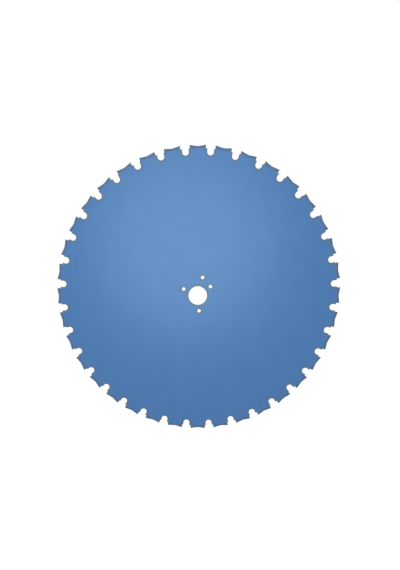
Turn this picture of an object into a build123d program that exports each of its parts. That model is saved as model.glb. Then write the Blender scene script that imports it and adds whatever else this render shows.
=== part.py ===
from build123d import *

import os
from math import asin, cos, radians, sin, sqrt

# Diamond blade for a wall saw, 914 mm (36 in) across the tips.
#
# A flat steel core carries one diamond segment on each of its thirty-six lands, and round-bottomed
# gullets part the lands. A segment is a sintered block with a shallow V in its cutting edge, so
# that its two corners bite first. Under it is a foot with no diamond in it, and a laser-weld seam
# joins the foot to the land. The saw's flange clamps the core round the bore, with three screws
# on the flange circle and one drive pin further out.
#
# Frame: millimetres, +Z up, the origin at the middle of the bore, halfway through the core.
# The blade turns about Y, and its front face looks along -Y.

# ---- Driving dimensions ----

blade_diameter = 914.0  # over the corners of the cutting edges
segment_count = 36

core_thickness = 3.6
bore_diameter = 60.0
edge_break = 0.3  # chamfer on both rims of the bore and of every hole

gullet_width = 20.2
gullet_depth = 19.0  # from the core's rim to the bottom of the round end
land_corner_radius = 1.0

hole_diameter = 11.0  # clearance for an M10 screw or pin
flange_hole_count = 3
flange_circle_diameter = 100.0
first_flange_hole_angle = 30  # degrees from +X, anticlockwise as seen from the front
drive_circle_diameter = 120.0
drive_hole_angle = 70

segment_height = 10.4  # from the core's rim to a tip, with the seam and the foot
segment_overhang = 0.6  # how far a segment stands out past each face of the core
shoulder = 3.9  # bare land between a gullet and the nearer end of a segment
segment_shift = 0.7  # how far anticlockwise of the land's middle a segment sits
valley_depth = 3.6  # from the line between the two tips down to where the flanks would meet
valley_radius = 20.0  # where one flank runs into the other

foot_height = 1.6
foot_overhang = 0.4  # past each face of the core
seam_height = 0.4
seam_crown = 0.2  # how far the weld bead stands out of each face of the core

# ---- Sizes that follow from them ----

blade_radius = blade_diameter / 2
core_radius = blade_radius - segment_height
seam_radius = core_radius + seam_height
foot_radius = seam_radius + foot_height

segment_thickness = core_thickness + 2 * segment_overhang
foot_thickness = core_thickness + 2 * foot_overhang
seam_thickness = core_thickness + 2 * seam_crown

pitch_angle = 360 / segment_count
gullet_half_angle = asin(gullet_width / 2 / core_radius)
land_half_length = core_radius * sin(radians(pitch_angle / 2) - gullet_half_angle)
segment_half_length = land_half_length - shoulder
left_end = -segment_shift - segment_half_length
right_end = -segment_shift + segment_half_length
tip_height = sqrt(blade_radius**2 - left_end**2)

front = Plane.XZ  # local x is +X, local y is +Z, and it faces the viewer at -Y


def tooth_plane(number):
    """The front plane turned about the bore, so that its y runs out along a land's middle line."""
    angle = radians((number - 0.5) * pitch_angle)
    return Plane(origin=front.origin, x_dir=(sin(angle), 0, -cos(angle)), z_dir=front.z_dir)


def arc_over_land(radius):
    """The stretch of a circle about the bore between the two ends of a segment."""
    start = (left_end, sqrt(radius**2 - left_end**2))
    end = (right_end, sqrt(radius**2 - right_end**2))
    return RadiusArc(start, end, radius)


def strip_between(inner_radius, outer_radius):
    """A strip under a segment, as long as the segment, between two circles about the bore."""
    with BuildSketch() as strip:
        with BuildLine():
            inner = arc_over_land(inner_radius)
            outer = arc_over_land(outer_radius)
            Line(inner @ 0, outer @ 0)
            Line(inner @ 1, outer @ 1)
        make_face()
    return strip.sketch


def diamond_layer():
    """A segment seen from the front: a curved underside, square ends and a V along the top."""
    with BuildSketch() as layer:
        with BuildLine():
            underside = arc_over_land(foot_radius)
            cutting_edge = FilletPolyline(
                (left_end, tip_height),
                (-segment_shift, tip_height - valley_depth),
                (right_end, tip_height),
                radius=valley_radius,
            )
            Line(underside @ 0, cutting_edge @ 0)
            Line(underside @ 1, cutting_edge @ 1)
        make_face()
    return layer.sketch


def save(part, name):
    part.label = name
    export_step(part, f"parts/{name}.step")


os.makedirs("parts", exist_ok=True)

# ---- Core ----

with BuildPart() as core:
    with BuildSketch(front) as toothed_disc:
        Circle(core_radius)
        with PolarLocations(core_radius, segment_count):
            SlotOverall(2 * gullet_depth, gullet_width, mode=Mode.SUBTRACT)
        land_corners = toothed_disc.vertices().group_by(SortBy.DISTANCE)[-1]
        fillet(land_corners, land_corner_radius)
    extrude(amount=core_thickness / 2, both=True)

    with Locations(front):
        Hole(bore_diameter / 2)
        with PolarLocations(flange_circle_diameter / 2, flange_hole_count, first_flange_hole_angle):
            Hole(hole_diameter / 2)
        with PolarLocations(drive_circle_diameter / 2, 1, drive_hole_angle):
            Hole(hole_diameter / 2)
    hole_rims = core.edges().filter_by(GeomType.CIRCLE).filter_by(lambda edge: edge.is_closed)
    chamfer(hole_rims, edge_break)

save(core.part, "core")

# ---- Weld seams and segment feet, one of each under every segment ----

seam_outline = strip_between(core_radius, seam_radius)
foot_outline = strip_between(seam_radius, foot_radius)

with BuildPart() as weld_seams:
    for number in range(1, segment_count + 1):
        with BuildSketch(tooth_plane(number)):
            add(seam_outline)
    extrude(amount=seam_thickness / 2, both=True)

save(weld_seams.part, "weld_seams")

with BuildPart() as segment_feet:
    for number in range(1, segment_count + 1):
        with BuildSketch(tooth_plane(number)):
            add(foot_outline)
    extrude(amount=foot_thickness / 2, both=True)

save(segment_feet.part, "segment_feet")

# ---- Segments, numbered anticlockwise from +X as seen from the front ----

segment_outline = diamond_layer()

for number in range(1, segment_count + 1):
    with BuildPart() as segment:
        with BuildSketch(tooth_plane(number)):
            add(segment_outline)
        extrude(amount=segment_thickness / 2, both=True)
    save(segment.part, f"segment_{number:02d}")
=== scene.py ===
import random
from math import asin, atan, cos, pi, radians, sin, sqrt, tan

import bmesh
import bpy
from mathutils import Matrix, Vector, noise


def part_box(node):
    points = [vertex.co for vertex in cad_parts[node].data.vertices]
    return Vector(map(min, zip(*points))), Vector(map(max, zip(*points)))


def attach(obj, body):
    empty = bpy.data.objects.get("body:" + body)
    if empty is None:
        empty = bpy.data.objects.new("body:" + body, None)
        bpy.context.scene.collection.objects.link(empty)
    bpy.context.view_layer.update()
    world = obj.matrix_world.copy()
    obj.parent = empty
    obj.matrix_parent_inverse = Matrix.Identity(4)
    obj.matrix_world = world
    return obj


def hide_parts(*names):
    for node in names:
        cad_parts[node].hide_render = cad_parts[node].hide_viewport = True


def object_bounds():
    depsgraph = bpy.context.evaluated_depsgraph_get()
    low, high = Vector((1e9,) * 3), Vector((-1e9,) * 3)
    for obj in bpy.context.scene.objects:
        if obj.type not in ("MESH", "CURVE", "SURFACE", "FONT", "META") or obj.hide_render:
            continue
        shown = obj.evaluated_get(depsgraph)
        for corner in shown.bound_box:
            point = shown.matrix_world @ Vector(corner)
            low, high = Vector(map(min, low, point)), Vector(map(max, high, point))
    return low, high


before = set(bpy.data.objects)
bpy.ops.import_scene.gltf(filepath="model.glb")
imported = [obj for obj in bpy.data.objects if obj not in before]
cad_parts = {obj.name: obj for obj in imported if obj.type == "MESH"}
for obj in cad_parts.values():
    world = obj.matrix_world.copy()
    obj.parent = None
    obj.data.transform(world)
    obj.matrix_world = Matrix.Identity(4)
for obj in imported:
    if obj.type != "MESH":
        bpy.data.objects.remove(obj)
cad_low, cad_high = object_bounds()

# ---- Sizes of the blade, in millimetres ----

MM = 0.001

segment_count = 36
_, core_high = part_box("core")
_, feet_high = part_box("segment_feet")

blade_radius = 457.0
core_radius = 446.6
core_half_thickness = core_high.y / MM
foot_half_thickness = feet_high.y / MM
segment_half_thickness = cad_high.y / MM

bore_radius = 30.0
hole_radius = 5.5
flange_circle_radius = 50.0
flange_hole_angles = (30, 150, 270)
drive_circle_radius = 60.0
drive_hole_angle = 70

gullet_half_width = 10.1
gullet_depth = 19.0
land_corner_radius = 1.0

seam_height = 0.4
foot_height = 1.6
shoulder = 3.9
segment_shift = 0.7
valley_depth = 3.6
valley_radius = 20.0

hole_centers = [
    Vector((cos(radians(angle)), sin(radians(angle)))) * radius
    for angle, radius in [(angle, flange_circle_radius) for angle in flange_hole_angles]
    + [(drive_hole_angle, drive_circle_radius)]
]

pitch = radians(360 / segment_count)
seam_radius = core_radius + seam_height
foot_radius = seam_radius + foot_height
gullet_center_radius = core_radius - gullet_depth + gullet_half_width
land_half_length = core_radius * sin(pitch / 2 - asin(gullet_half_width / core_radius))
segment_half_length = land_half_length - shoulder
left_end = -segment_shift - segment_half_length
right_end = -segment_shift + segment_half_length
tip_height = sqrt(blade_radius**2 - left_end**2)
flank_angle = atan(valley_depth / segment_half_length)


# ---- Places on the blade ----


def turned(x, y, angle):
    """A point x to the right of and y out along a ray from the bore, as flat coordinates."""
    return Vector((x * sin(angle) + y * cos(angle), -x * cos(angle) + y * sin(angle)))


def in_blade(point, depth):
    """The place of a flat point, in metres; depth runs from the middle towards the front face."""
    return Vector((point.x, -depth, point.y)) * MM


def tooth_angle(number):
    return (number - 0.5) * pitch


def smooth_step(value, start, end):
    share = min(max((value - start) / (end - start), 0), 1)
    return share * share * (3 - 2 * share)


# ---- Mesh helpers ----


def finished_piece(name, bm, materials, nodes):
    """Turns the bmesh into an object with weighted normals that rides on the blade."""
    bmesh.ops.recalc_face_normals(bm, faces=bm.faces)
    for face in bm.faces:
        face.smooth = True
    mesh = bpy.data.meshes.new(name)
    bm.to_mesh(mesh)
    bm.free()
    piece = bpy.data.objects.new(name, mesh)
    bpy.context.scene.collection.objects.link(piece)
    for material in materials:
        mesh.materials.append(material)
    weighted = piece.modifiers.new("even shading", "WEIGHTED_NORMAL")
    weighted.keep_sharp = True
    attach(piece, "root")
    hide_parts(*nodes)
    return piece


def skin_between(bm, ring, next_ring, material=0):
    """Joins two closed rings of the same number of vertices with quads."""
    for i in range(len(ring)):
        j = (i + 1) % len(ring)
        face = bm.faces.new((ring[i], ring[j], next_ring[j], next_ring[i]))
        face.material_index = material


def loft(bm, sections):
    """A closed skin through a row of rings, with both ends capped; returns the rings."""
    rings = [[bm.verts.new(point) for point in section] for section in sections]
    for ring, next_ring in zip(rings, rings[1:]):
        skin_between(bm, ring, next_ring)
    bm.faces.new(rings[0])
    bm.faces.new(rings[-1])
    return rings


# ---- Core: outlines ----


def gullet_outline(angle):
    """One gullet from the clockwise land's corner, round its bottom, to the next land's corner."""
    corner_steps, wall_steps, bottom_steps = 5, 3, 26
    across = gullet_half_width + land_corner_radius
    out = sqrt((core_radius - land_corner_radius) ** 2 - across**2)
    rim_direction = asin(across / (core_radius - land_corner_radius))
    start = pi / 2 - rim_direction
    side = []
    for step in range(corner_steps + 1):
        turn = start + (pi - start) * step / corner_steps
        side.append((across + land_corner_radius * cos(turn), out + land_corner_radius * sin(turn)))
    for step in range(1, wall_steps):
        side.append((gullet_half_width, out + (gullet_center_radius - out) * step / wall_steps))
    bottom = []
    for step in range(bottom_steps + 1):
        turn = pi * step / bottom_steps
        bottom.append(
            (gullet_half_width * cos(turn), gullet_center_radius - gullet_half_width * sin(turn))
        )
    other_side = [(-x, y) for x, y in reversed(side)]
    return [turned(x, y, angle) for x, y in side + bottom + other_side]


def land_outline(start, end):
    """The rim between two gullets, without its end points."""
    steps = 16
    right = Vector((1, 0))
    first, last = start.angle_signed(right), end.angle_signed(right)
    sweep = (last - first) % (2 * pi)
    points = []
    for step in range(1, steps):
        angle = first + sweep * step / steps
        points.append(Vector((cos(angle), sin(angle))) * core_radius)
    return points


def circle(radius, steps, center=Vector((0, 0))):
    return [
        center + Vector((cos(2 * pi * i / steps), sin(2 * pi * i / steps))) * radius
        for i in range(steps)
    ]


def inset(outline, distance):
    """The outline moved into the steel, which lies to its left."""
    moved = []
    count = len(outline)
    for i, point in enumerate(outline):
        along = (outline[(i + 1) % count] - outline[i - 1]).normalized()
        moved.append(point + Vector((-along.y, along.x)) * distance)
    return moved


edge_round = 0.35
edge_steps = 4
web_radii = (84.0, 150.0, 220.0, 290.0, 360.0, 422.0)  # rings that divide the flat faces
web_steps = 144
bore_steps = 120
hole_steps = 48
wall_material = 1


def edge_profile():
    """Pairs of inset and depth over the rounded front edge, the wall and the rounded rear edge."""
    pairs = []
    flat_depth = core_half_thickness - edge_round
    for step in range(edge_steps + 1):
        turn = pi / 2 * step / edge_steps
        pairs.append((edge_round * (1 - sin(turn)), flat_depth + edge_round * cos(turn)))
    return pairs + [(distance, -depth) for distance, depth in reversed(pairs)]


def walled_outline(bm, outline):
    """Makes the wall along an outline, with rounded edges; returns its front and its rear ring."""
    rings = []
    for distance, depth in edge_profile():
        points = inset(outline, distance)
        rings.append([bm.verts.new(in_blade(point, depth)) for point in points])
    for step, (ring, next_ring) in enumerate(zip(rings, rings[1:])):
        # the step of each rounding that is next to the wall has the wall's material
        rounded = step < edge_steps - 1 or step > edge_steps + 1
        skin_between(bm, ring, next_ring, 0 if rounded else wall_material)
    return rings[0], rings[-1]


def fill_ring_zone(bm, loops):
    """Fills the flat zone between closed loops of vertices."""
    edges = []
    for loop in loops:
        for i in range(len(loop)):
            pair = (loop[i - 1], loop[i])
            edges.append(bm.edges.get(pair) or bm.edges.new(pair))
    bmesh.ops.triangle_fill(bm, use_beauty=True, use_dissolve=False, edges=edges)


def make_core(materials):
    bm = bmesh.new()
    rim = []
    gullets = [gullet_outline(number * pitch) for number in range(segment_count)]
    for gullet, next_gullet in zip(gullets, gullets[1:] + gullets[:1]):
        rim += gullet + land_outline(gullet[-1], next_gullet[0])
    holes = [list(reversed(circle(bore_radius, bore_steps)))]
    holes += [list(reversed(circle(hole_radius, hole_steps, center))) for center in hole_centers]

    rim_rings = walled_outline(bm, rim)
    hole_rings = [walled_outline(bm, hole) for hole in holes]
    for side, depth in enumerate((core_half_thickness, -core_half_thickness)):
        web = [
            [bm.verts.new(in_blade(point, depth)) for point in circle(radius, web_steps)]
            for radius in web_radii
        ]
        for ring, next_ring in zip(web, web[1:]):
            skin_between(bm, ring, next_ring)
        fill_ring_zone(bm, [web[-1], rim_rings[side]])
        fill_ring_zone(bm, [web[0]] + [rings[side] for rings in hole_rings])
    return finished_piece("core_plate", bm, materials, ["core"])


# ---- Segments ----


def rounded_rectangle(half_width, low, high, corner, side_steps, end_steps):
    """Points round a section across the blade, as pairs of depth and height."""
    corner_steps = 3
    centers = (
        (half_width - corner, high - corner, 0),
        (-half_width + corner, high - corner, 1),
        (-half_width + corner, low + corner, 2),
        (half_width - corner, low + corner, 3),
    )
    points = []
    for i, (depth, height, quarter) in enumerate(centers):
        arc = []
        for step in range(corner_steps + 1):
            turn = pi / 2 * (quarter + step / corner_steps)
            arc.append((depth + corner * cos(turn), height + corner * sin(turn)))
        points += arc
        next_depth, next_height, _ = centers[(i + 1) % 4]
        next_turn = pi / 2 * (quarter + 1)
        goal = (next_depth + corner * cos(next_turn), next_height + corner * sin(next_turn))
        steps = end_steps if quarter % 2 == 0 else side_steps
        for step in range(1, steps):
            share = step / steps
            points.append(
                (
                    arc[-1][0] + (goal[0] - arc[-1][0]) * share,
                    arc[-1][1] + (goal[1] - arc[-1][1]) * share,
                )
            )
    return points


def cutting_height(x):
    """How far out the cutting edge is at x: two flanks that run into a rounded valley."""
    away = abs(x + segment_shift)
    vertex = tip_height - valley_depth
    if away < valley_radius * sin(flank_angle):
        return vertex + valley_radius / cos(flank_angle) - sqrt(valley_radius**2 - away**2)
    return vertex + away * tan(flank_angle)


end_rounding_steps = 3
smallest_corner = 0.04


def block_sections(low_at, high_at, half_thickness, corner, columns, side_steps, end_steps):
    """Sections of a block along a land, drawn in at both ends so that its ends are rounded too."""
    rounding = []
    for step in range(end_rounding_steps + 1):
        turn = pi / 2 * step / end_rounding_steps
        rounding.append((corner * (1 - sin(turn)), corner * (1 - cos(turn))))
    rows = [(left_end + inward, drawn_in) for inward, drawn_in in reversed(rounding)]
    inner_left, inner_right = left_end + corner, right_end - corner
    for column in range(1, columns):
        rows.append((inner_left + (inner_right - inner_left) * column / columns, 0))
    rows += [(right_end - inward, drawn_in) for inward, drawn_in in rounding]
    sections = []
    for x, drawn_in in rows:
        section = rounded_rectangle(
            half_thickness - drawn_in,
            low_at(x) + drawn_in,
            high_at(x) - drawn_in,
            max(corner - drawn_in, smallest_corner),
            side_steps,
            end_steps,
        )
        sections.append([(x, height, depth) for depth, height in section])
    return sections


seed_shifts = (17.3, 5.1, 9.7)  # take each seed's grain from another place in the noise


def grain(point, size, seed):
    return noise.noise(point / size + Vector([seed * shift for shift in seed_shifts]))


segment_corner = 0.4
segment_columns, segment_side_steps, segment_end_steps = 60, 12, 7
rim_fade = (0.5, 5.0)  # the spray is thin up to the first distance and full from the second
bare_facing = (0.45, 0.75)  # spray gives way to bare metal as a place faces more outward
bare_ragged, bare_ragged_size = 0.35, 1.3
coarse_grain, coarse_grain_size = 0.06, 2.6
fine_grain, fine_grain_size, fine_grain_seed = 0.05, 0.9, 40
skin_drawn_in = 0.02  # sets the middle of the grain a little under the CAD surface

grit_material = 1
grit_per_segment = 54
grit_size = 0.5
grit_size_range = (0.7, 1.1)
grit_height_range = (-0.12, 0.08)  # of a crystal's middle over the cutting edge, in crystals
grit_end_margin, grit_side_margin = 0.8, 0.5
grit_tip, grit_facet = 0.72, 0.15


def add_grit(bm, number, draws):
    """Diamond crystals half sunk in the cutting edge, each a small truncated octahedron."""
    angle = tooth_angle(number)
    for _ in range(grit_per_segment):
        x = draws.uniform(left_end + grit_end_margin, right_end - grit_end_margin)
        depth = draws.uniform(
            -segment_half_thickness + grit_side_margin, segment_half_thickness - grit_side_margin
        )
        size = grit_size * draws.uniform(*grit_size_range)
        height = cutting_height(x) + size * draws.uniform(*grit_height_range)
        place = in_blade(turned(x, height, angle), depth)
        tilt = Matrix.Rotation(draws.uniform(0, pi), 3, "X")
        turn = tilt @ Matrix.Rotation(draws.uniform(0, pi), 3, "Z")
        corners = []
        for axis in range(3):
            for sign in (-1, 1):
                tip = Vector((0, 0, 0))
                tip[axis] = sign * size / 2
                for other in ((axis + 1) % 3, (axis + 2) % 3):
                    for other_sign in (-1, 1):
                        point = tip * grit_tip
                        point[other] = other_sign * size * grit_facet
                        corners.append(bm.verts.new(place + (turn @ point) * MM))
        hull = bmesh.ops.convex_hull(bm, input=corners)
        for face in [g for g in hull["geom"] if isinstance(g, bmesh.types.BMFace)]:
            face.material_index = grit_material


def make_segment(number, materials):
    bm = bmesh.new()
    bare = bm.verts.layers.float.new("bare")
    worn = bm.verts.layers.float.new("worn")
    angle = tooth_angle(number)
    outward = in_blade(turned(0, 1, angle), 0).normalized()
    sections = block_sections(
        lambda x: sqrt(foot_radius**2 - x**2),
        cutting_height,
        segment_half_thickness,
        segment_corner,
        segment_columns,
        segment_side_steps,
        segment_end_steps,
    )
    flat_places = []
    placed = []
    for section in sections:
        placed.append([in_blade(turned(x, height, angle), depth) for x, height, depth in section])
        flat_places += section
    loft(bm, placed)
    bmesh.ops.recalc_face_normals(bm, faces=bm.faces)
    bm.normal_update()
    moves = []
    for vertex, (x, height, depth) in zip(bm.verts, flat_places):
        point = Vector((x, height, depth))
        facing_out = vertex.normal.dot(outward)
        ragged = bare_ragged * grain(point, bare_ragged_size, number)
        exposed = smooth_step(facing_out + ragged, *bare_facing)
        vertex[bare] = exposed
        to_edge = min(x - left_end, right_end - x, cutting_height(x) - height)
        vertex[worn] = 1 - smooth_step(to_edge, *rim_fade)
        coarse = grain(point, coarse_grain_size, number) * coarse_grain
        fine = grain(point, fine_grain_size, number + fine_grain_seed)
        fine *= fine_grain + fine_grain * exposed
        moves.append(vertex.normal * (coarse + fine - skin_drawn_in) * MM)
    for vertex, move in zip(list(bm.verts), moves):
        vertex.co += move
    add_grit(bm, number, random.Random(number))
    name = f"segment_{number:02d}"
    return finished_piece(f"{name}_block", bm, materials, [name])


# ---- Feet and weld seams ----


foot_corner = 0.2
foot_columns, foot_steps = 24, 2


def make_feet(materials):
    bm = bmesh.new()
    for number in range(1, segment_count + 1):
        angle = tooth_angle(number)
        sections = block_sections(
            lambda x: sqrt(seam_radius**2 - x**2),
            lambda x: sqrt(foot_radius**2 - x**2),
            foot_half_thickness,
            foot_corner,
            foot_columns,
            foot_steps,
            foot_steps,
        )
        loft(
            bm, [[in_blade(turned(x, y, angle), d) for x, y, d in section] for section in sections]
        )
    return finished_piece("segment_feet_strips", bm, materials, ["segment_feet"])


ripple_pitch = 1.5
ripple_height = 0.11
ripple_bow = 0.55  # how far a ripple bows along the land in the middle of the bead
bead_start = 1.1  # how far inside the core's rim the bead begins
bead_width = 1.9
bead_rise, bead_fullness = 0.22, 0.6
bead_sink = 0.06  # how deep the bead's edge is sunk in the core's face
bead_root = 0.75  # how far under the foot's face the bead reaches
climb_share = 0.9  # how much of the step from core to foot the bead climbs
wander_reach, wander_rate, wander_seed = 0.18, 0.35, 3.7
web_overlap, web_undercut = 0.15, 0.5


def seam_section(x, seed):
    """A weld across the blade at x: a rippled bead on each face and the fused web between them.

    Each point has its place along the land, its height, its depth and how near it is to a crest.
    """
    points = []
    low_web, high_web = core_radius - web_overlap - web_undercut, seam_radius + web_overlap
    bead_steps = 6
    wander = wander_reach * noise.noise(Vector((x * wander_rate, seed * wander_seed, 0)))
    for face in (1, -1):
        bead = []
        for step in range(bead_steps + 1):
            share = step / bead_steps
            height = core_radius - bead_start + bead_width * share + wander
            crest = sin(pi * share)
            phase = (x + ripple_bow * crest) / ripple_pitch * 2 * pi + seed
            swell = 0.5 + 0.5 * sin(phase)
            ripple = ripple_height * crest * swell
            climb = (foot_half_thickness - core_half_thickness) * share * climb_share
            rise = bead_rise * crest * bead_fullness
            depth = core_half_thickness - bead_sink + climb + rise + ripple
            bead.append((height, face * depth, swell))
        inner = (foot_half_thickness - bead_root) * face
        if face == 1:
            points += [(low_web, inner, 0)] + bead + [(high_web, inner, 0)]
        else:
            points += [(high_web, inner, 0)] + bead[::-1] + [(low_web, inner, 0)]
    drop = core_radius - sqrt(core_radius**2 - x**2)
    return [(x, height - drop, depth, swell) for height, depth, swell in points]


def make_seams(materials):
    bm = bmesh.new()
    crest = bm.verts.layers.float.new("crest")
    columns = 120
    for number in range(1, segment_count + 1):
        angle = tooth_angle(number)
        stations = [left_end + (right_end - left_end) * i / columns for i in range(columns + 1)]
        sections = [seam_section(x, number) for x in stations]
        placed = [
            [in_blade(turned(x, y, angle), d) for x, y, d, _ in section] for section in sections
        ]
        rings = loft(bm, placed)
        for ring, section in zip(rings, sections):
            for vertex, point in zip(ring, section):
                vertex[crest] = point[3]
    return finished_piece("weld_seams_beads", bm, materials, ["weld_seams"])


# ---- Materials ----


def node(tree, kind, values=(), **settings):
    """Adds a shader node; values maps its input sockets to numbers, colours or other sockets."""
    made = tree.nodes.new("ShaderNode" + kind)
    for key, value in settings.items():
        setattr(made, key, value)
    for socket, value in dict(values).items():
        if isinstance(value, bpy.types.NodeSocket):
            tree.links.new(value, made.inputs[socket])
        else:
            made.inputs[socket].default_value = value
    return made


def new_material(name):
    material = bpy.data.materials.new(name)
    material.use_nodes = True
    tree = material.node_tree
    millimetres = node(
        tree,
        "VectorMath",
        {0: node(tree, "TexCoord").outputs["Object"], 3: 1 / MM},
        operation="SCALE",
    )
    return material, tree, tree.nodes["Principled BSDF"], millimetres.outputs[0]


def noise_of(tree, place, scale, detail=3.0, roughness=0.5):
    """A noise from 0 to 1 whose grains are about 1 / scale millimetres across."""
    texture = node(
        tree,
        "TexNoise",
        {"Vector": place, "Scale": scale, "Detail": detail, "Roughness": roughness},
    )
    return texture.outputs["Fac"]


def remap(tree, value, from_low, from_high, to_low, to_high):
    sockets = {
        "Value": value,
        "From Min": from_low,
        "From Max": from_high,
        "To Min": to_low,
        "To Max": to_high,
    }
    return node(tree, "MapRange", sockets).outputs["Result"]


def spread(tree, texture, to_low, to_high):
    """Stretches a noise, most of which lies between 0.3 and 0.7, over the range given."""
    return remap(tree, texture, 0.3, 0.7, to_low, to_high)


def calculate(tree, operation, first, second=0):
    return node(tree, "Math", {0: first, 1: second}, operation=operation).outputs[0]


def blend(tree, share, first, second):
    """A mix of two colours."""
    mixed = node(tree, "Mix", {0: share, 6: first, 7: second}, data_type="RGBA")
    return mixed.outputs[2]


def attribute(tree, name):
    return node(tree, "Attribute", attribute_name=name).outputs["Fac"]


def stretched(tree, place, scales):
    """The place with each axis scaled by itself."""
    return node(tree, "Mapping", {"Vector": place, "Scale": scales}, vector_type="POINT").outputs[0]


def ring_place(tree, place, across, along):
    """Coordinates that change fast with distance from the bore and slowly round it."""
    flat = node(tree, "VectorMath", {0: place, 1: (1, 0, 1)}, operation="MULTIPLY").outputs[0]
    radius = node(tree, "VectorMath", {0: flat}, operation="LENGTH").outputs["Value"]
    direction = node(tree, "VectorMath", {0: flat}, operation="NORMALIZE").outputs[0]
    wide = node(tree, "VectorMath", {0: direction, 3: along}, operation="SCALE").outputs[0]
    split = node(tree, "SeparateXYZ", {0: wide})
    distance = calculate(tree, "MULTIPLY", radius, across)
    values = {0: split.outputs[0], 1: distance, 2: split.outputs[2]}
    return node(tree, "CombineXYZ", values).outputs[0]


wear_reach = 11.0  # how far from an edge the lacquer may be chipped
weld_band_offset = 4.0


def distance_to_edge(tree, place):
    """How far a point on the core's face is from the nearest gullet, hole, bore or weld.

    A weld counts as weld_band_offset further off than it is.
    """
    flat = node(tree, "VectorMath", {0: place, 1: (1, 0, 1)}, operation="MULTIPLY").outputs[0]
    split = node(tree, "SeparateXYZ", {0: flat})
    radius = node(tree, "VectorMath", {0: flat}, operation="LENGTH").outputs["Value"]
    angle = calculate(tree, "ARCTAN2", split.outputs[2], split.outputs[0])
    turns = calculate(tree, "ROUND", calculate(tree, "DIVIDE", angle, pitch))
    aside = calculate(tree, "SUBTRACT", angle, calculate(tree, "MULTIPLY", turns, pitch))
    across = calculate(tree, "MULTIPLY", radius, calculate(tree, "SINE", aside))
    out = calculate(tree, "MULTIPLY", radius, calculate(tree, "COSINE", aside))
    below = calculate(tree, "MINIMUM", calculate(tree, "SUBTRACT", out, gullet_center_radius), 0)
    squares = calculate(tree, "MULTIPLY", across, across)
    squares = calculate(tree, "ADD", squares, calculate(tree, "MULTIPLY", below, below))
    nearest = calculate(tree, "SUBTRACT", calculate(tree, "SQRT", squares), gullet_half_width)
    nearest = calculate(tree, "MINIMUM", nearest, calculate(tree, "SUBTRACT", radius, bore_radius))
    weld = calculate(tree, "SUBTRACT", core_radius + weld_band_offset, radius)
    nearest = calculate(tree, "MINIMUM", nearest, weld)
    for center in hole_centers:
        at = node(tree, "VectorMath", {0: flat, 1: (center.x, 0, center.y)}, operation="DISTANCE")
        away = calculate(tree, "SUBTRACT", at.outputs["Value"], hole_radius)
        nearest = calculate(tree, "MINIMUM", nearest, away)
    return nearest


def bump(tree, shader, layers):
    """Stacks bumps on the shader; each layer is a height and its depth in millimetres."""
    normal = None
    for height, depth in layers:
        values = {"Height": height, "Strength": 1.0, "Distance": depth * MM}
        if normal is not None:
            values["Normal"] = normal
        normal = node(tree, "Bump", values).outputs["Normal"]
    tree.links.new(normal, shader.inputs["Normal"])


blue = (0.0325, 0.1115, 0.283, 1)
deep_blue = (0.0313, 0.1075, 0.275, 1)
light_blue = (0.0337, 0.1155, 0.291, 1)
thin_blue = (0.0450, 0.0800, 0.138, 1)
bright_thin_blue = (0.0670, 0.1130, 0.186, 1)
segment_blue = (0.0345, 0.0810, 0.152, 1)
rim_blue = (0.018, 0.040, 0.080, 1)
rubbed_metal = (0.055, 0.087, 0.142, 1)
sheen_tint = (0.78, 1.0, 1.0, 1)
lacquer_roughness = 0.38
dark_steel = (0.10, 0.105, 0.115, 1)
dark_bronze = (0.07, 0.065, 0.06, 1)
light_bronze = (0.26, 0.24, 0.21, 1)
clear_diamond = (0.30, 0.29, 0.10, 1)
cloudy_diamond = (0.62, 0.60, 0.30, 1)
dim_floor = (0.74, 0.74, 0.74, 1)
light_floor = (0.78, 0.78, 0.78, 1)


def lacquered_steel():
    """The core's faces: satin lacquer over ground steel, chipped and thin along every edge."""
    material, tree, shader, place = new_material("lacquered_steel")
    broad = noise_of(tree, place, 0.02, 2)
    flecks = noise_of(tree, place, 0.35, 4, 0.6)
    rings = noise_of(tree, ring_place(tree, place, 1.6, 6.0), 1.0, 4, 0.65)
    colour = blend(tree, spread(tree, broad, 0, 1), deep_blue, light_blue)
    colour = blend(tree, remap(tree, flecks, 0.35, 0.65, 0, 0.5), colour, blue)
    chips = noise_of(tree, place, 0.7, 6, 0.7)
    care = spread(tree, noise_of(tree, place, 0.03, 2), 0.75, 1.3)
    guarded = calculate(tree, "MULTIPLY", distance_to_edge(tree, place), care)
    reach = remap(tree, guarded, 0, wear_reach, 0.74, 0.26)
    worn = remap(tree, calculate(tree, "SUBTRACT", reach, chips), -0.02, 0.03, 0, 1)
    ground = blend(tree, spread(tree, rings, 0, 1), thin_blue, bright_thin_blue)
    colour = blend(tree, worn, colour, ground)
    tree.links.new(colour, shader.inputs["Base Color"])
    smear = noise_of(tree, place, 0.03, 4, 0.6)
    roughness = spread(tree, smear, lacquer_roughness - 0.02, lacquer_roughness + 0.02)
    roughness = calculate(tree, "ADD", roughness, spread(tree, rings, -0.04, 0.04))
    roughness = calculate(tree, "ADD", roughness, calculate(tree, "MULTIPLY", worn, 0.06))
    tree.links.new(roughness, shader.inputs["Roughness"])
    shader.inputs["Specular Tint"].default_value = sheen_tint
    peel = noise_of(tree, place, 0.6, 2)
    coat = calculate(tree, "SUBTRACT", 1, worn)
    bump(tree, shader, [(rings, 0.015), (peel, 0.025), (coat, 0.015)])
    return material


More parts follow.
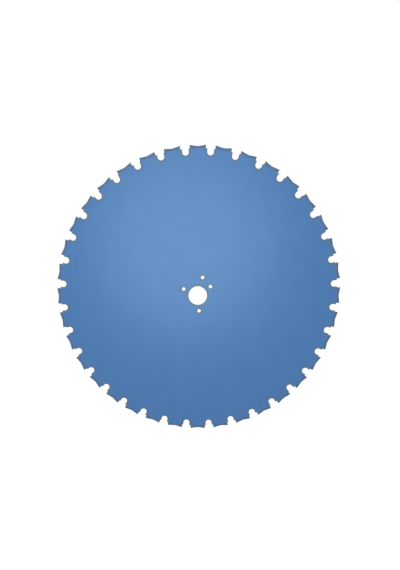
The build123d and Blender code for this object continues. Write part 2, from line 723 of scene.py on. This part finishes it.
def cut_wall():
    """Laser-cut walls of the gullets and holes: striated steel with a thin coat of lacquer."""
    material, tree, shader, place = new_material("laser_cut_wall")
    stripes = noise_of(tree, stretched(tree, place, (3.0, 0.25, 3.0)), 1.0, 3, 0.6)
    patches = noise_of(tree, place, 0.25, 4, 0.6)
    coat = blend(tree, spread(tree, stripes, 0, 1), rim_blue, deep_blue)
    bare_share = remap(tree, patches, 0.56, 0.68, 0, 0.7)
    tree.links.new(blend(tree, bare_share, coat, dark_steel), shader.inputs["Base Color"])
    tree.links.new(bare_share, shader.inputs["Metallic"])
    tree.links.new(spread(tree, stripes, 0.4, 0.6), shader.inputs["Roughness"])
    shader.inputs["Specular Tint"].default_value = sheen_tint
    bump(tree, shader, [(stripes, 0.08)])
    return material


def sintered_matrix():
    """Segments: blue spray on the sides and bare bronze-grey metal on the cutting edge."""
    material, tree, shader, place = new_material("sintered_matrix")
    pores = noise_of(tree, place, 1.6, 5, 0.7)
    coarse = noise_of(tree, place, 0.3, 3)
    spray = blend(tree, spread(tree, coarse, 0, 0.25), segment_blue, blue)
    spray = blend(tree, remap(tree, pores, 0.34, 0.46, 0.7, 0), spray, rim_blue)
    nubs = noise_of(tree, place, 1.1, 3, 0.6)
    reach = remap(tree, attribute(tree, "worn"), 0, 1, 0.36, 0.50)
    rubbed = remap(tree, calculate(tree, "SUBTRACT", reach, nubs), -0.02, 0.06, 0, 1)
    spray = blend(tree, rubbed, spray, rubbed_metal)
    metal = blend(tree, remap(tree, pores, 0.35, 0.65, 0, 1), dark_bronze, light_bronze)
    bare = attribute(tree, "bare")
    tree.links.new(blend(tree, bare, spray, metal), shader.inputs["Base Color"])
    tree.links.new(calculate(tree, "MULTIPLY", bare, 0.75), shader.inputs["Metallic"])
    roughness = spread(tree, pores, 0.48, 0.62)
    roughness = calculate(tree, "ADD", roughness, calculate(tree, "MULTIPLY", bare, 0.08))
    tree.links.new(roughness, shader.inputs["Roughness"])
    bump(tree, shader, [(coarse, 0.10), (nubs, 0.10), (pores, 0.08)])
    return material


def diamond_grit():
    """Synthetic diamond crystals: yellow-green and glassy, with cloudy patches."""
    material, tree, shader, place = new_material("diamond_grit")
    cloud = noise_of(tree, place, 2.5, 3)
    colour = blend(tree, spread(tree, cloud, 0, 1), clear_diamond, cloudy_diamond)
    tree.links.new(colour, shader.inputs["Base Color"])
    tree.links.new(spread(tree, cloud, 0.08, 0.25), shader.inputs["Roughness"])
    shader.inputs["IOR"].default_value = 2.4
    bump(tree, shader, [(cloud, 0.01)])
    return material


def foot_lacquer():
    """The feet: lacquered steel with a fine milled grain along the strip."""
    material, tree, shader, place = new_material("lacquered_foot")
    milled = noise_of(tree, ring_place(tree, place, 5.0, 20.0), 1.0, 3)
    flecks = noise_of(tree, place, 0.6, 4, 0.6)
    colour = blend(tree, spread(tree, flecks, 0, 0.6), segment_blue, blue)
    tree.links.new(colour, shader.inputs["Base Color"])
    tree.links.new(spread(tree, milled, 0.45, 0.58), shader.inputs["Roughness"])
    shader.inputs["Specular Tint"].default_value = sheen_tint
    bump(tree, shader, [(milled, 0.03), (flecks, 0.02)])
    return material


def weld_lacquer():
    """The seams: lacquer over a weld bead, with painted shade that darkens the valleys between the
    ripples.
    """
    material, tree, shader, place = new_material("lacquered_weld")
    pooled = noise_of(tree, place, 0.9, 4, 0.6)
    spatter = noise_of(tree, place, 2.5, 2)
    colour = blend(tree, remap(tree, pooled, 0.25, 0.4, 0.6, 1), rim_blue, blue)
    # painted shade: the valleys between the ripples are blended towards a darker blue
    painted_valley_shade = remap(tree, attribute(tree, "crest"), 0, 0.55, 0.55, 0)
    colour = blend(tree, painted_valley_shade, colour, segment_blue)
    tree.links.new(colour, shader.inputs["Base Color"])
    tree.links.new(spread(tree, pooled, 0.40, 0.55), shader.inputs["Roughness"])
    shader.inputs["Specular Tint"].default_value = sheen_tint
    bump(tree, shader, [(pooled, 0.03), (spatter, 0.02)])
    return material


def studio_floor():
    """A plain white sheet that glows a little, so that it is as bright as the surround."""
    material, tree, shader, place = new_material("studio_floor")
    mottle = noise_of(tree, place, 0.004, 3)
    colour = blend(tree, mottle, dim_floor, light_floor)
    tree.links.new(colour, shader.inputs["Base Color"])
    shader.inputs["Roughness"].default_value = 0.9
    shader.inputs["Emission Color"].default_value = (1, 1, 1, 1)
    shader.inputs["Emission Strength"].default_value = 0.27
    return material


# ---- Build the blade ----

make_core([lacquered_steel(), cut_wall()])
segment_materials = [sintered_matrix(), diamond_grit()]
for segment_number in range(1, segment_count + 1):
    make_segment(segment_number, segment_materials)
make_feet([foot_lacquer()])
make_seams([weld_lacquer()])


# ---- Stage, light and camera, in metres ----


def make_floor():
    half_width = 12.0
    below_blade = 0.45
    height = cad_low.z - below_blade
    corners = [
        (-half_width, -half_width),
        (half_width, -half_width),
        (half_width, half_width),
        (-half_width, half_width),
    ]
    mesh = bpy.data.meshes.new("floor")
    mesh.from_pydata([(x, y, height) for x, y in corners], [], [(0, 1, 2, 3)])
    mesh.materials.append(studio_floor())
    floor = bpy.data.objects.new("floor", mesh)
    bpy.context.scene.collection.objects.link(floor)


def soft_light(name, place, target, size, power):
    lamp = bpy.data.lights.new(name, "AREA")
    lamp.shape = "DISK"
    lamp.size = size
    lamp.energy = power
    light = bpy.data.objects.new(name, lamp)
    light.location = place
    light.rotation_euler = (Vector(target) - Vector(place)).to_track_quat("-Z", "Y").to_euler()
    light.visible_camera = False
    bpy.context.scene.collection.objects.link(light)


def make_world():
    world = bpy.data.worlds.new("white_surround")
    world.use_nodes = True
    background = world.node_tree.nodes["Background"]
    background.inputs["Color"].default_value = (1, 1, 1, 1)
    background.inputs["Strength"].default_value = 1.0
    bpy.context.scene.world = world
    bpy.context.scene.view_settings.view_transform = "Standard"


def make_camera():
    """The viewer stands a little above the bore, turned slightly left and leaning to the right."""
    turned_left, tilted_down, leaning_right = radians(2.05), radians(9.90), radians(5.24)
    lens = bpy.data.cameras.new("camera")
    lens.lens = 24
    lens.sensor_width = 36
    lens.shift_x = 0.0224
    lens.shift_y = 0.0806
    camera = bpy.data.objects.new("camera", lens)
    place = Matrix.Translation((-0.0003, -1.2339, 0.1022))
    heading = Matrix.Rotation(turned_left, 4, "Z")
    tilt = Matrix.Rotation(pi / 2 - tilted_down, 4, "X")
    roll = Matrix.Rotation(-leaning_right, 4, "Z")
    camera.matrix_world = place @ heading @ tilt @ roll
    bpy.context.scene.collection.objects.link(camera)
    bpy.context.scene.camera = camera


make_floor()
make_world()
lamp_size = 0.88
lamp_watts = 4.5
soft_light("front_softbox", (-0.040, -0.70, 0.206), (-0.020, 0, 0.17), lamp_size, lamp_watts)
soft_light("rear_softbox", (0.040, 0.70, 0.206), (0.020, 0, 0.17), lamp_size, lamp_watts)
make_camera()
